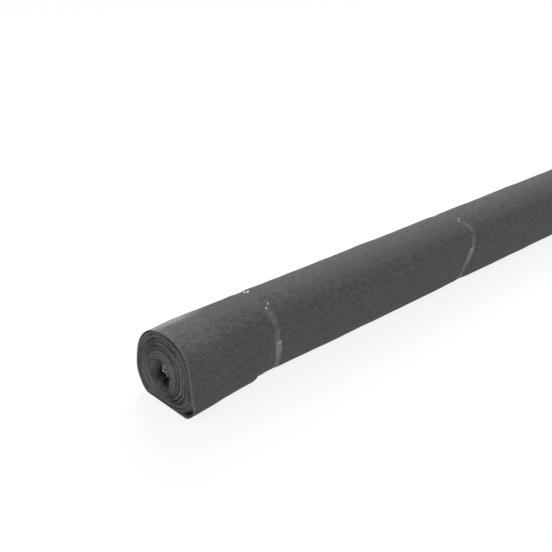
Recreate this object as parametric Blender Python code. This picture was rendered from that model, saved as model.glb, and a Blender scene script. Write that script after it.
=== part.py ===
"""A roll of dark grey insect screen cloth, lying on its side and held shut by three clear tapes.

Metres, +Z up. The roll lies along Y, with its loosened end at -Y, and its loosened turn hangs out
towards +X. The origin lies on the surface under it, below the middle of the box around it.
"""
import math

import bmesh
import bpy
import numpy as np

# The cloth is 1.2 m wide, which is the roll's length
LENGTH = 1.2
NEAR_END = -LENGTH / 2

# Outline of the cloth as smooth curve points, from the crown round by the far side: where it is
# loosened at the near end, and where it is tied. What would reach below the surface is pressed flat.
OUTLINE = (
    # loosened side, loosened height, tied side, tied height
    (0.0040, 0.1082, 0.0040, 0.1082),
    (-0.0220, 0.1034, -0.0220, 0.1034),
    (-0.0435, 0.0882, -0.0435, 0.0882),
    (-0.0565, 0.0657, -0.0565, 0.0657),
    (-0.0624, 0.0360, -0.0624, 0.0360),
    (-0.0594, 0.0190, -0.0594, 0.0190),
    (-0.0500, 0.0056, -0.0500, 0.0056),
    (-0.0360, -0.0008, -0.0360, -0.0008),
    (0.0, -0.0010, 0.0, -0.0010),
    (0.0400, -0.0006, 0.0256, -0.0008),
    (0.0522, 0.0046, 0.0342, 0.0036),
    (0.0608, 0.0130, 0.0400, 0.0129),
    (0.0624, 0.0236, 0.0438, 0.0236),
    (0.0592, 0.0400, 0.0484, 0.0400),
    (0.0573, 0.0586, 0.0522, 0.0600),
    (0.0543, 0.0780, 0.0522, 0.0790),
    (0.0446, 0.0950, 0.0446, 0.0950),
    (0.0260, 0.1053, 0.0260, 0.1053),
)

# Outline of the hollow middle, which sags with the roll and has no core in it
HOLLOW_OUTLINE = (
    # side, height
    (-0.0110, 0.0630),
    (-0.0250, 0.0570),
    (-0.0335, 0.0440),
    (-0.0310, 0.0290),
    (-0.0190, 0.0188),
    (-0.0045, 0.0180),
    (0.0055, 0.0265),
    (0.0090, 0.0410),
    (0.0085, 0.0520),
    (0.0010, 0.0600),
)
MIDDLE = (-0.0100, 0.0430)

# The cloth's inner end, crumpled into the hollow just inside the near end
TUCK = 0.0075
TUCK_RUN = 0.060
TUCK_DIRECTION = math.radians(38)
TUCK_SPREAD = math.radians(45)

# How loose the cloth hangs along the roll, from the loosened end past the tied places
SLACK = (
    # distance from the near end, share of the loosened outline
    (0.000, 1.00),
    (0.035, 0.86),
    (0.065, 0.68),
    (0.104, 0.54),
    (0.118, 0.47),
    (0.132, 0.02),
    (0.190, 0.00),
    (0.223, 0.04),
    (0.300, 0.11),
    (0.400, 0.15),
    (0.500, 0.09),
    (0.570, 0.00),
    (0.630, 0.00),
    (0.700, 0.09),
    (0.800, 0.15),
    (0.900, 0.11),
    (1.010, 0.00),
    (1.066, 0.00),
    (1.130, 0.12),
    (1.200, 0.30),
)

# The crown stands a little higher than in the near end, where the last bit of cloth rolls in
CROWN_RISE = 0.0023
CROWN_RUN = 0.045
CROWN_DIRECTION = math.radians(118)
CROWN_SPREAD = math.radians(75)

# Clear tapes stuck round the roll, each lying in the cloth that it draws in
BANDS = (
    # node, distance from the near end
    ("band_near", 0.156),
    ("band_middle", 0.600),
    ("band_far", 1.044),
)
BAND_WIDTH = 0.011
BAND_THICKNESS = 0.0005
BAND_DRAW_IN = 0.0009
BAND_SEAT = 0.0015
BAND_SHOULDER = 0.008
GAP = 0.0003

# The wound turns as they show in the ends, as a spiral of bundles with open gaps between them
TURNS = 8
SPIRAL_START = math.radians(233)
SPIRAL_MARGIN = 0.012
GAP_HALF_WIDTH = 0.0008
GAP_LEAST_WIDTH = 0.0002
GAP_DEPTH = 0.006
GAP_FADE = 0.6
STEP_OF_TURN = 0.0012
UNEVEN_TURNS = 0.0014
UNEVEN_PACE = 2.3
HOLLOW_EDGE = 0.002

# Gaps that open where the turns sag away from each other at the lower corner of the near end
LOOSE_GAPS = (
    # turn, opens inwards, opens outwards, further depth, direction in degrees, spread in degrees
    (2, 0.0005, 0.0010, 0.004, -37, 26),
    (3, 0.0012, 0.0016, 0.008, -37, 26),
    (4, 0.0012, 0.0016, 0.008, -34, 22),
    (6, 0.0015, 0.0050, 0.074, -26, 16),
)

# The last turn lies close on the others, and stands off them only round this direction
LAST_DIRECTION = math.radians(-8)
LAST_SPREAD = math.radians(70)

COLUMNS = 60
CURVE_STEPS = 40

CLOTH_COLOUR = (0.075, 0.078, 0.080, 1.0)
TAPE_COLOUR = (0.55, 0.56, 0.57, 1.0)


def smooth(x):
    """0 below 0, 1 above 1, and an even S between them."""
    x = np.clip(x, 0.0, 1.0)
    return x * x * (3 - 2 * x)


def bell(directions, middle, spread):
    """1 at the middle direction, falling to 0 at the spread on both sides of it."""
    away = np.abs((directions - middle + math.pi) % (2 * math.pi) - math.pi)
    return 1 - smooth(away / spread)


def closed_curve(points):
    """A smooth closed curve through the points, each stretch a cubic set by its four nearest points."""
    t = np.linspace(0, 1, CURVE_STEPS, endpoint=False)[:, None]
    stretches = []
    for i in range(len(points)):
        before, start, end, after = (points[(i + k) % len(points)] for k in (-1, 0, 1, 2))
        stretches.append(
            0.5 * (2 * start + (end - before) * t + (2 * before - 5 * start + 4 * end - after) * t**2
                   + (3 * start - before - 3 * end + after) * t**3)
        )
    return np.concatenate(stretches)


def reach_of(curve, directions):
    """How far the curve lies from the middle in each direction."""
    offset = curve - np.array(MIDDLE)
    angle = np.arctan2(offset[:, 1], offset[:, 0])
    return np.interp(directions, angle, np.hypot(offset[:, 0], offset[:, 1]), period=2 * math.pi)


def spread_directions(curve):
    """Directions of the columns, clockwise from the spiral's start, closer where the curve turns."""
    step = np.roll(curve, -1, axis=0) - curve
    heading = np.arctan2(step[:, 1], step[:, 0])
    turning = np.abs((heading - np.roll(heading, 1) + math.pi) % (2 * math.pi) - math.pi)
    length = np.hypot(step[:, 0], step[:, 1])
    share = length / length.sum() + turning / turning.sum()
    offset = curve - np.array(MIDDLE)
    past_start = (SPIRAL_START - np.arctan2(offset[:, 1], offset[:, 0])) % (2 * math.pi)
    order = np.argsort(past_start)
    travelled = np.concatenate(([0.0], np.cumsum(share[order])))
    angles = np.concatenate((past_start[order], [2 * math.pi]))
    angles[0] = 0.0
    wanted = np.arange(COLUMNS) / COLUMNS * travelled[-1]
    return SPIRAL_START - np.interp(wanted, travelled, angles)


LOOSENED_CURVE = closed_curve(np.array(OUTLINE)[:, :2])
TIED_CURVE = closed_curve(np.array(OUTLINE)[:, 2:])
DIRECTIONS = spread_directions(LOOSENED_CURVE)
AROUND = (SPIRAL_START - DIRECTIONS) / (2 * math.pi)
LOOSENED_REACH = reach_of(LOOSENED_CURVE, DIRECTIONS)
TIED_REACH = reach_of(TIED_CURVE, DIRECTIONS)
OPEN_REACH = reach_of(closed_curve(np.array(HOLLOW_OUTLINE)), DIRECTIONS)
CROWN = bell(DIRECTIONS, CROWN_DIRECTION, CROWN_SPREAD)
TUCKED = bell(DIRECTIONS, TUCK_DIRECTION, TUCK_SPREAD)


def hollow_reach(distance):
    """How far the hollow's wall lies from the middle in each direction, at a distance from the near end."""
    return OPEN_REACH - TUCK * (1 - smooth(distance / TUCK_RUN)) * TUCKED


def outer_reach(distance):
    """How far the cloth lies from the middle in each direction, at a distance from the near end."""
    slack = np.interp(distance, *zip(*SLACK))
    rise = CROWN_RISE * smooth(distance / CROWN_RUN)
    return TIED_REACH + slack * (LOOSENED_REACH - TIED_REACH) + rise * CROWN


def place(share, distance):
    """Points of one ring, a share of the way from the hollow to the outside."""
    inside = hollow_reach(distance)
    reach = inside + share * (outer_reach(distance) - inside)
    side = MIDDLE[0] + reach * np.cos(DIRECTIONS)
    height = np.maximum(MIDDLE[1] + reach * np.sin(DIRECTIONS), 0.0)
    return np.stack([side, NEAR_END + distance + 0 * side, height], axis=1)


def moved_out(ring, amount):
    """The ring moved square to its own outline, outwards for a positive amount."""
    along = np.roll(ring, 1, axis=0) - np.roll(ring, -1, axis=0)
    outward = np.stack([along[:, 2], 0 * along[:, 0], -along[:, 0]], axis=1)
    outward /= np.linalg.norm(outward, axis=1, keepdims=True)
    return ring + amount * outward


def draw_in(distance):
    """How deep the nearest tape presses the cloth in."""
    nearest = min(abs(distance - at) for _, at in BANDS)
    past_edge = (nearest - BAND_WIDTH / 2 - BAND_SEAT) / BAND_SHOULDER
    return BAND_DRAW_IN * float(1 - smooth(past_edge))


def cloth_ring(distance):
    """One ring of the roll's outside."""
    ring = place(1.0, distance)
    return moved_out(ring, -draw_in(distance))


def end_rows(loose_gaps):
    """Rows of one end face as (share, depth), from the hollow's edge to the outside.

    Each turn's gap has an inner edge, a bottom and an outer edge, and all three climb from the hollow
    to the outside as a spiral. The outer edge of each bundle stands further out than its inner edge.
    """
    wall = LOOSENED_REACH - OPEN_REACH
    rows = [(np.zeros(COLUMNS), np.full(COLUMNS, HOLLOW_EDGE))]
    for turn in range(TURNS):
        climbed = turn + AROUND
        share = SPIRAL_MARGIN + (1 - 2 * SPIRAL_MARGIN) * climbed / TURNS
        fade = smooth(climbed / GAP_FADE) * smooth((TURNS - climbed) / GAP_FADE)
        if turn == TURNS - 1:
            fade = fade * bell(DIRECTIONS, LAST_DIRECTION, LAST_SPREAD)
        width = GAP_LEAST_WIDTH + (GAP_HALF_WIDTH - GAP_LEAST_WIDTH) * fade
        opens_in, opens_out, deeper = 0.0, 0.0, 0.0
        for loose_turn, inwards, outwards, further, direction, spread in loose_gaps:
            if loose_turn == turn:
                here = bell(DIRECTIONS, math.radians(direction), math.radians(spread))
                opens_in, opens_out, deeper = inwards * here, outwards * here, further * here
        uneven = UNEVEN_TURNS * (0.5 - 0.5 * np.cos(UNEVEN_PACE * climbed)) * fade
        rows.append((share - (width + opens_in) / wall, uneven))
        rows.append((share, uneven + STEP_OF_TURN + GAP_DEPTH * fade + deeper))
        rows.append((share + (width + opens_out) / wall, uneven + STEP_OF_TURN * fade))
    return rows


def end_faces(rings):
    """Faces between the rings of one end, where each gap runs on past the last column one turn out."""
    faces = []
    last = len(rings) - 1
    for column in range(COLUMNS - 1):
        for row in range(last):
            faces.append((rings[row][column], rings[row + 1][column],
                          rings[row + 1][column + 1], rings[row][column + 1]))
    end, start = COLUMNS - 1, 0
    for row in range(1, last - 4):
        faces.append((rings[row][end], rings[row + 1][end], rings[row + 4][start], rings[row + 3][start]))
    faces.append((rings[0][end], rings[1][end], rings[4][start], rings[3][start],
                  rings[2][start], rings[1][start], rings[0][start]))
    faces.append((rings[last - 4][end], rings[last - 3][end], rings[last - 2][end], rings[last - 1][end],
                  rings[last][end], rings[last][start], rings[last - 1][start]))
    return faces


def wall_faces(rings):
    """Faces of a wall through closed rings, from one ring to the next."""
    return [
        (a[column], b[column], b[(column + 1) % COLUMNS], a[(column + 1) % COLUMNS])
        for a, b in zip(rings, rings[1:])
        for column in range(COLUMNS)
    ]


def add_solid(name, points, faces, material):
    """One closed solid, with its faces pointing out and only its real edges left sharp."""
    mesh = bpy.data.meshes.new(name)
    mesh.from_pydata([tuple(point) for point in points], [], faces)
    edit = bmesh.new()
    edit.from_mesh(mesh)
    bmesh.ops.triangulate(edit, faces=[face for face in edit.faces if len(face.verts) > 4])
    bmesh.ops.recalc_face_normals(edit, faces=edit.faces)
    edit.to_mesh(mesh)
    edit.free()
    mesh.shade_smooth()
    mesh.set_sharp_from_angle(angle=math.radians(35))
    mesh.materials.append(material)
    solid = bpy.data.objects.new(name, mesh)
    bpy.context.collection.objects.link(solid)
    return solid


def add_material(name, colour, roughness):
    material = bpy.data.materials.new(name)
    material.use_nodes = True
    shader = material.node_tree.nodes["Principled BSDF"]
    shader.inputs["Base Color"].default_value = colour
    shader.inputs["Roughness"].default_value = roughness
    shader.inputs["Metallic"].default_value = 0.0
    return material


def add_roll(material):
    """The wound cloth as one solid: outside, two spiral ends and the hollow right through."""
    points = []

    def keep(ring):
        first = len(points)
        points.extend(ring)
        return list(range(first, first + COLUMNS))

    stations = {distance for distance, _ in SLACK} | {CROWN_RUN / 2}
    for _, at in BANDS:
        seat = BAND_WIDTH / 2 + BAND_SEAT
        stations |= {at - seat - BAND_SHOULDER, at - seat, at + seat, at + seat + BAND_SHOULDER}
    outside = [keep(cloth_ring(distance)) for distance in sorted(stations)]
    hollow_at = (HOLLOW_EDGE, TUCK_RUN / 2, TUCK_RUN, LENGTH / 2, LENGTH - HOLLOW_EDGE)
    hollow = [keep(place(0.0, distance)) for distance in hollow_at]

    near = [hollow[0]]
    near += [keep(place(share, depth)) for share, depth in end_rows(LOOSE_GAPS)[1:]]
    near.append(outside[0])
    far = [hollow[-1]]
    far += [keep(place(share, LENGTH - depth)) for share, depth in end_rows(())[1:]]
    far.append(outside[-1])

    faces = wall_faces(outside) + wall_faces(hollow) + end_faces(near) + end_faces(far)
    return add_solid("roll", points, faces, material)


def add_band(name, distance, material):
    """A tape round the roll, a gap clear of the cloth that it draws in."""
    rings = []
    for amount, edge in ((GAP, -1), (GAP + BAND_THICKNESS, -1), (GAP + BAND_THICKNESS, 1), (GAP, 1)):
        ring = moved_out(cloth_ring(distance), amount)
        ring[:, 1] += edge * BAND_WIDTH / 2
        rings.append(ring)
    points = [point for ring in rings for point in ring]
    numbers = [list(range(i * COLUMNS, (i + 1) * COLUMNS)) for i in range(len(rings))]
    return add_solid(name, points, wall_faces(numbers + numbers[:1]), material)


for old in list(bpy.data.objects):
    bpy.data.objects.remove(old)

cloth = add_material("screen_cloth", CLOTH_COLOUR, 0.75)
tape = add_material("clear_tape", TAPE_COLOUR, 0.15)
add_roll(cloth)
for band_name, band_distance in BANDS:
    add_band(band_name, band_distance, tape)
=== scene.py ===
# %% [markdown]
# # A roll of insect screen cloth
#
# The object is about 30 m of woven screen cloth, wound up without a core and held shut by clear
# tape. This script dresses its plain solids: it winds the fine turns, lays the outermost turn over
# them as a real sheet, crumples the inner end, and sticks the tapes on.
#
# Blender reads the solids as a fixed frame. Their size is right already, so every length below is
# either a real size in metres or comes from that frame.

import math

import bmesh
import bpy
import numpy as np
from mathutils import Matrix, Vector


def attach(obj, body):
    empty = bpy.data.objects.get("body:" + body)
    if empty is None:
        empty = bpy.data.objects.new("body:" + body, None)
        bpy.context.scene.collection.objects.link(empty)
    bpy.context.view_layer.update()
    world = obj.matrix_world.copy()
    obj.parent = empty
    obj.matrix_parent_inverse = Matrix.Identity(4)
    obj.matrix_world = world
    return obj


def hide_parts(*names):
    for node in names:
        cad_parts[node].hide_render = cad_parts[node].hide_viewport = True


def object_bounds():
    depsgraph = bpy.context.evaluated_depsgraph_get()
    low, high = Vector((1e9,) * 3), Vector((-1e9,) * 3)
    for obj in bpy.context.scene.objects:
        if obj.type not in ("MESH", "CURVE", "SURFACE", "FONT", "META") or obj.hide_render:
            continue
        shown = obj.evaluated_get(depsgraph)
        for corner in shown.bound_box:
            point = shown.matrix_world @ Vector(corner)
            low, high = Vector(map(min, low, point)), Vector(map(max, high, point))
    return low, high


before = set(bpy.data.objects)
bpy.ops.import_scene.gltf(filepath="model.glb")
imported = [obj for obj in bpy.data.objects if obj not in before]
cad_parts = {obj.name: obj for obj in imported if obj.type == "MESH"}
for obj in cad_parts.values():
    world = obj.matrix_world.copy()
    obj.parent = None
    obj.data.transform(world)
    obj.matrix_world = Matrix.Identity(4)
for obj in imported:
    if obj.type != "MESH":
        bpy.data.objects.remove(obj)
CAD_LOW, CAD_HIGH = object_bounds()
LENGTH = CAD_HIGH.y - CAD_LOW.y
NEAR_END = CAD_LOW.y
MM = 0.001
print(f"frame: {len(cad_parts)} solids, {LENGTH:.3f} m long")

# %% [markdown]
# ## The camera
#
# A picture is matched by three things: where the camera stands, where it looks, and how long its
# lens is. The lens is found from the perspective, here from how the roll narrows towards its far
# end. Blender's camera looks down its own -Z, so it is first tilted up from the floor and then
# turned about the vertical.

# %% Place the camera
CAMERA_PLACE = (0.7842, -1.1249, 0.6255)
CAMERA_LOOKS_DOWN = math.radians(25.17)
CAMERA_TURNS_LEFT = math.radians(47.31)
LENS_MM = 54.88
SENSOR_MM = 36.0

camera = bpy.data.objects.new("camera", bpy.data.cameras.new("camera"))
camera.data.lens = LENS_MM
camera.data.sensor_width = SENSOR_MM
camera.location = CAMERA_PLACE
camera.rotation_euler = (math.pi / 2 - CAMERA_LOOKS_DOWN, 0.0, CAMERA_TURNS_LEFT)
bpy.context.collection.objects.link(camera)
bpy.context.scene.camera = camera
print(f"camera: {LENS_MM} mm lens, {math.degrees(CAMERA_LOOKS_DOWN):.1f} degrees down")

# %% [markdown]
# ## Colours and nodes
#
# Colours are picked as sRGB hex values, the way a paint or a screen shows them. Shaders reckon in
# linear light, so one function turns them. One more small function adds a node, sets it and links
# it, which keeps the materials below short.


# %% Colour and node helpers
def linear(hex_colour):
    """The linear colour of an sRGB hex value: each channel is raised by the sRGB curve."""
    channels = [int(hex_colour[i:i + 2], 16) / 255 for i in (1, 3, 5)]
    curved = [c / 12.92 if c <= 0.04045 else ((c + 0.055) / 1.055) ** 2.4 for c in channels]
    return (*curved, 1.0)


def add_node(tree, kind, inputs=None, output="Fac", **settings):
    """Add a shader node with its settings and links, and give back its output.

    An input is a value, or another node's output. The output given back is the one with the given
    name, or else the first that the settings leave in use.
    """
    made = tree.nodes.new("ShaderNode" + kind)
    for name, value in settings.items():
        setattr(made, name, value)
    for name, value in (inputs or {}).items():
        if isinstance(value, bpy.types.NodeSocket):
            tree.links.new(value, made.inputs[name])
        else:
            made.inputs[name].default_value = value
    return made.outputs.get(output) or next(socket for socket in made.outputs if socket.enabled)


def new_material(name, **constants):
    """A material with one Principled shader, and the constants set straight on its sockets."""
    material = bpy.data.materials.new(name)
    material.use_nodes = True
    shader = material.node_tree.nodes["Principled BSDF"]
    for socket, value in constants.items():
        shader.inputs[socket.replace("_", " ")].default_value = value
    return material, material.node_tree, shader


print(f"colours: the sRGB grey #808080 is {linear('#808080')[0]:.2f} in linear light")

# %% [markdown]
# ## Floor and light
#
# A product picture of a dark roll wants a pale floor and big soft lights. The sky lights
# everything evenly. The floor is a lit opal table: it glows nearly as bright as the sky, so that
# the flank is as bright below as above and the roll hardly throws a shadow. One wide lamp behind
# the roll brightens its upper side alone, so that the turn from the top to the flank shows.

# %% Floor and light
FLOOR_SIZE = 30.0
FLOOR_DROP = 0.2 * MM
FLOOR_GLOW = 0.86
SKY_STRENGTH = 1.0
LAMP_SIZE = 1.4
LAMP_PLACE = (-1.6, 0.9, 1.75)
LAMP_AIMS_AT = (0.0, 0.0, 0.05)
LAMP_POWER = 62.0

floor_mesh = bpy.data.meshes.new("floor")
half = FLOOR_SIZE / 2
floor_mesh.from_pydata([(-half, -half, 0), (half, -half, 0), (half, half, 0), (-half, half, 0)],
                       [], [(0, 1, 2, 3)])
floor = bpy.data.objects.new("floor", floor_mesh)
floor.location = (0.0, 0.0, -FLOOR_DROP)
bpy.context.collection.objects.link(floor)
floor_paint, _, _ = new_material("lit_opal_table", Base_Color=linear("#595A5B"), Roughness=0.9,
                                 Emission_Color=linear("#FBFDFF"), Emission_Strength=FLOOR_GLOW)
floor_mesh.materials.append(floor_paint)

world = bpy.data.worlds.new("studio")
world.use_nodes = True
sky = world.node_tree.nodes["Background"]
sky.inputs["Color"].default_value = linear("#FFFFFF")
sky.inputs["Strength"].default_value = SKY_STRENGTH
bpy.context.scene.world = world

lamp = bpy.data.objects.new("soft_box", bpy.data.lights.new("soft_box", "AREA"))
lamp.data.shape = "SQUARE"
lamp.data.size = LAMP_SIZE
lamp.data.energy = LAMP_POWER
lamp.location = LAMP_PLACE
lamp.rotation_euler = (Vector(LAMP_AIMS_AT) - Vector(LAMP_PLACE)).to_track_quat("-Z", "Y").to_euler()
bpy.context.collection.objects.link(lamp)
bpy.context.scene.view_settings.view_transform = "Standard"
print(f"studio: sky {SKY_STRENGTH}, one {LAMP_SIZE} m soft box")

# %% [markdown]
# ## The section of the roll
#
# A roll without a core sags. Its section is drawn once as a few points, from the crown round by
# the far side, and a smooth closed curve runs through them. There are two of these: one where the
# cloth is loosened, at the near end, and one where a tape ties it. What would sink below the floor
# is pressed flat on it.

# %% Outlines
OUTLINE = (
    # side and height in mm of the loosened outline
    (4.0, 108.2), (-22.0, 103.4), (-43.5, 88.2), (-56.5, 65.7), (-62.4, 36.0), (-59.4, 19.0),
    (-50.0, 5.6), (-36.0, -0.8), (0.0, -1.0), (40.0, -0.6), (52.2, 4.6), (60.8, 13.0),
    (62.4, 23.6), (59.2, 40.0), (57.3, 58.6), (54.3, 78.0), (44.6, 95.0), (26.0, 105.3),
)
TIED_FROM = 9
TIED_POINTS = (
    # side and height in mm of the points that a tape draws in, from number TIED_FROM on
    (25.6, -0.8), (34.2, 3.6), (40.0, 12.9), (43.8, 23.6), (48.4, 40.0), (52.2, 60.0), (52.2, 79.0),
)
HOLLOW_OUTLINE = (
    # side and height in mm
    (-11.0, 63.0), (-25.0, 57.0), (-33.5, 44.0), (-31.0, 29.0), (-19.0, 18.8),
    (-4.5, 18.0), (5.5, 26.5), (9.0, 41.0), (8.5, 52.0), (1.0, 60.0),
)
MIDDLE = np.array((-10.0, 43.0)) * MM
CURVE_STEPS = 60


def cubic(before, start, end, after, steps):
    """Points from each start to its end, on the cubic that the four neighbours set."""
    t = np.linspace(0, 1, steps, endpoint=False)[None, :, None]
    curve = 0.5 * (2 * start + (end - before) * t + (2 * before - 5 * start + 4 * end - after) * t**2
                   + (3 * start - before - 3 * end + after) * t**3)
    return curve.reshape(-1, 2)


def closed_curve(points):
    """A smooth closed curve through the points: the first follows the last."""
    return cubic(*(np.roll(points, -k, axis=0)[:, None] for k in (-1, 0, 1, 2)), CURVE_STEPS)


def open_curve(points, steps):
    """A smooth open curve through the points, run on straight by one point at each end."""
    padded = np.vstack([2 * points[0] - points[1], points, 2 * points[-1] - points[-2]])
    return np.vstack([cubic(*(padded[k:len(padded) - 3 + k, None] for k in range(4)), steps), points[-1:]])


def reach_table(curve):
    """The curve in polar form round the middle: its angles, and how far out it lies at each."""
    offset = curve - MIDDLE
    angle = np.arctan2(offset[:, 1], offset[:, 0])
    order = np.argsort(angle)
    return angle[order], np.hypot(offset[:, 0], offset[:, 1])[order]


def read_reach(table, angle):
    """How far out a polar curve lies at any angles."""
    return np.interp(angle, *table, period=2 * math.pi)


TIED_OUTLINE = OUTLINE[:TIED_FROM] + TIED_POINTS + OUTLINE[TIED_FROM + len(TIED_POINTS):]
LOOSENED_CURVE = closed_curve(np.array(OUTLINE) * MM)
LOOSENED = reach_table(LOOSENED_CURVE)
TIED = reach_table(closed_curve(np.array(TIED_OUTLINE) * MM))
HOLLOW = reach_table(closed_curve(np.array(HOLLOW_OUTLINE) * MM))
print(f"section: {np.ptp(LOOSENED_CURVE[:, 0]) / MM:.0f} by {np.ptp(LOOSENED_CURVE[:, 1]) / MM:.0f} mm")

# %% [markdown]
# ## The surface of the roll
#
# The roll's outside is a mix of the two outlines. A table says how much of the loosened one shows
# at each distance from the near end: all of it at the end, hardly any under a tape, a little
# between two tapes. At the corner by the floor the slack ends suddenly, as a bulge of stiff cloth
# does, and higher up it runs out evenly. The crown also rises over the first few centimetres, where
# the last bit of cloth rolls in. A side of the roll such as the crown is written as a direction and
# a spread in degrees, and a bell over the angles makes a soft patch of it.

# %% Surface
SLACK = (
    # distance from the near end, share of the loosened outline
    (0.000, 1.00), (0.035, 0.86), (0.065, 0.68), (0.104, 0.54), (0.118, 0.47), (0.132, 0.02), (0.190, 0.00),
    (0.223, 0.04), (0.300, 0.11), (0.400, 0.15), (0.500, 0.09), (0.570, 0.00), (0.630, 0.00), (0.700, 0.09),
    (0.800, 0.15), (0.900, 0.11), (1.010, 0.00), (1.066, 0.00), (1.130, 0.12), (1.200, 0.30),
)
SLACK_EVENED = 28 * MM
SLACK_SAMPLES = 7
SLACK_CORNER = (-38, 30)
CROWN_RISE = 2.3 * MM
CROWN_RUN = 45 * MM
CROWN = (118, 75)


def smooth(x):
    """0 below 0, 1 above 1, and an even S between them."""
    x = np.clip(x, 0.0, 1.0)
    return x * x * (3 - 2 * x)


def bell(angle, middle, spread):
    """1 at the middle direction, falling to 0 at the spread on both sides of it, both in degrees."""
    away = np.abs((angle - np.radians(middle) + math.pi) % (2 * math.pi) - math.pi)
    return 1 - smooth(away / np.radians(spread))


def read_table(table, place, column=1, period=None):
    """A column of a table, on straight lines between its rows. The first column is the place."""
    columns = np.array(table).T
    return np.interp(place, columns[0], columns[column], period=period)


def slack_at(angle, distance):
    """The share of the loosened outline: sudden at the corner by the floor, evened out higher up."""
    steps = np.linspace(-SLACK_EVENED, SLACK_EVENED, SLACK_SAMPLES)
    evened = np.mean([read_table(SLACK, distance + step) for step in steps], axis=0)
    corner = bell(angle, *SLACK_CORNER)
    return evened + corner * (read_table(SLACK, distance) - evened)


def cloth_reach(angle, distance):
    """How far out the roll's outside lies: the tied outline, moved to the loosened one by the slack.

    The crown's rise is added to that.
    """
    slack = slack_at(angle, distance)
    rise = CROWN_RISE * smooth(distance / CROWN_RUN) * bell(angle, *CROWN)
    tied = read_reach(TIED, angle)
    return tied + slack * (read_reach(LOOSENED, angle) - tied) + rise


def from_end(distance):
    """How far a place along the roll is from the nearer end."""
    return np.minimum(distance, LENGTH - distance)


def side_by_side(*values):
    """One grid that holds several values at each of its points."""
    return np.stack(np.broadcast_arrays(*values), axis=-1)


def at_place(reach, angle, distance, lowest=0.0):
    """Points from a reach round the middle, an angle and a distance, no lower than a given height."""
    height = np.maximum(MIDDLE[1] + reach * np.sin(angle), lowest)
    return side_by_side(MIDDLE[0] + reach * np.cos(angle), NEAR_END + distance, height)


print(f"surface: slack in {len(SLACK)} steps, {slack_at(0.0, 0.0):.2f} of it at the near end's side")

# %% [markdown]
# ## Grids into meshes
#
# Nearly every piece here is a grid of points: rows along the roll, columns round it. The faces of
# such a grid follow from its size alone, so one function makes them, and another writes points and
# faces into a Blender mesh in one go. A UV map in metres goes with a sheet, so that its weave
# follows the cloth and keeps its real size.

# %% Mesh helpers
SHARP_ANGLE = math.radians(50)
KNOTS_BEFORE = 100
WANDER_SCALE = 1.5


def point_numbers(rows, columns, first=0):
    """Numbers of the points of a grid whose first point has the given number."""
    return first + np.arange(rows * columns).reshape(rows, columns)


def grid_faces(rows, columns, first=0, closed_round=False):
    """Four-cornered faces of a grid, each from a point to its neighbours right and below."""
    index = point_numbers(rows, columns, first)
    if closed_round:
        index = np.hstack([index, index[:, :1]])
    corners = [index[:-1, :-1], index[:-1, 1:], index[1:, 1:], index[1:, :-1]]
    return np.stack(corners, axis=-1).reshape(-1, 4).tolist()


def new_piece(name, points, faces, material, uv=None):
    """A mesh object at the origin from points, faces and, for a sheet, a UV for each point."""
    mesh = bpy.data.meshes.new(name)
    mesh.from_pydata(points.reshape(-1, 3), [], faces)
    if uv is not None:
        corners = np.empty(len(mesh.loops), dtype=np.int32)
        mesh.loops.foreach_get("vertex_index", corners)
        layer = mesh.uv_layers.new(name="cloth")
        layer.data.foreach_set("uv", uv.reshape(-1, 2)[corners].astype(np.float32).ravel())
    mesh.validate()
    mesh.shade_smooth()
    mesh.set_sharp_from_angle(angle=SHARP_ANGLE)
    mesh.materials.append(material)
    piece = bpy.data.objects.new(name, mesh)
    bpy.context.collection.objects.link(piece)
    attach(piece, "root")
    return piece


def add_values(piece, name, values):
    """Store a value for each point of a piece, which its material can read by this name."""
    flat = np.ravel(values).astype(np.float32)
    piece.data.attributes.new(name, "FLOAT", "POINT").data.foreach_set("value", flat)


def new_sheet(name, points, material, uv, thickness):
    """A sheet of little thickness from a grid of points, with half its thickness on each side and a closed
    rim.
    """
    piece = new_piece(name, points, grid_faces(*points.shape[:2]), material, uv)
    modifier = piece.modifiers.new("thickness", "SOLIDIFY")
    modifier.thickness = thickness
    modifier.offset = 0.0
    return piece


def turn_outwards(piece):
    """Point every face of a closed piece outwards."""
    edit = bmesh.new()
    edit.from_mesh(piece.data)
    bmesh.ops.recalc_face_normals(edit, faces=edit.faces)
    edit.to_mesh(piece.data)
    edit.free()


def unevenness(places, seed, knots_per_unit, octaves=3):
    """A smooth random wander along a line, about -1 to 1: soft steps between random knots.

    Each octave has twice the knots and half the height of the one before. Knots before the line's
    start serve places below 0.
    """
    rng = np.random.default_rng(seed)
    total = np.zeros(np.shape(places))
    for octave in range(octaves):
        scaled = np.asarray(places) * knots_per_unit * 2**octave + KNOTS_BEFORE
        knots = rng.uniform(-1, 1, int(np.max(scaled)) + 3)
        cell = np.floor(scaled).astype(int)
        total += (knots[cell] + (knots[cell + 1] - knots[cell]) * smooth(scaled - cell)) / 2**octave
    return total / WANDER_SCALE


print("helpers: grid, piece, sheet and unevenness are ready")
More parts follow.
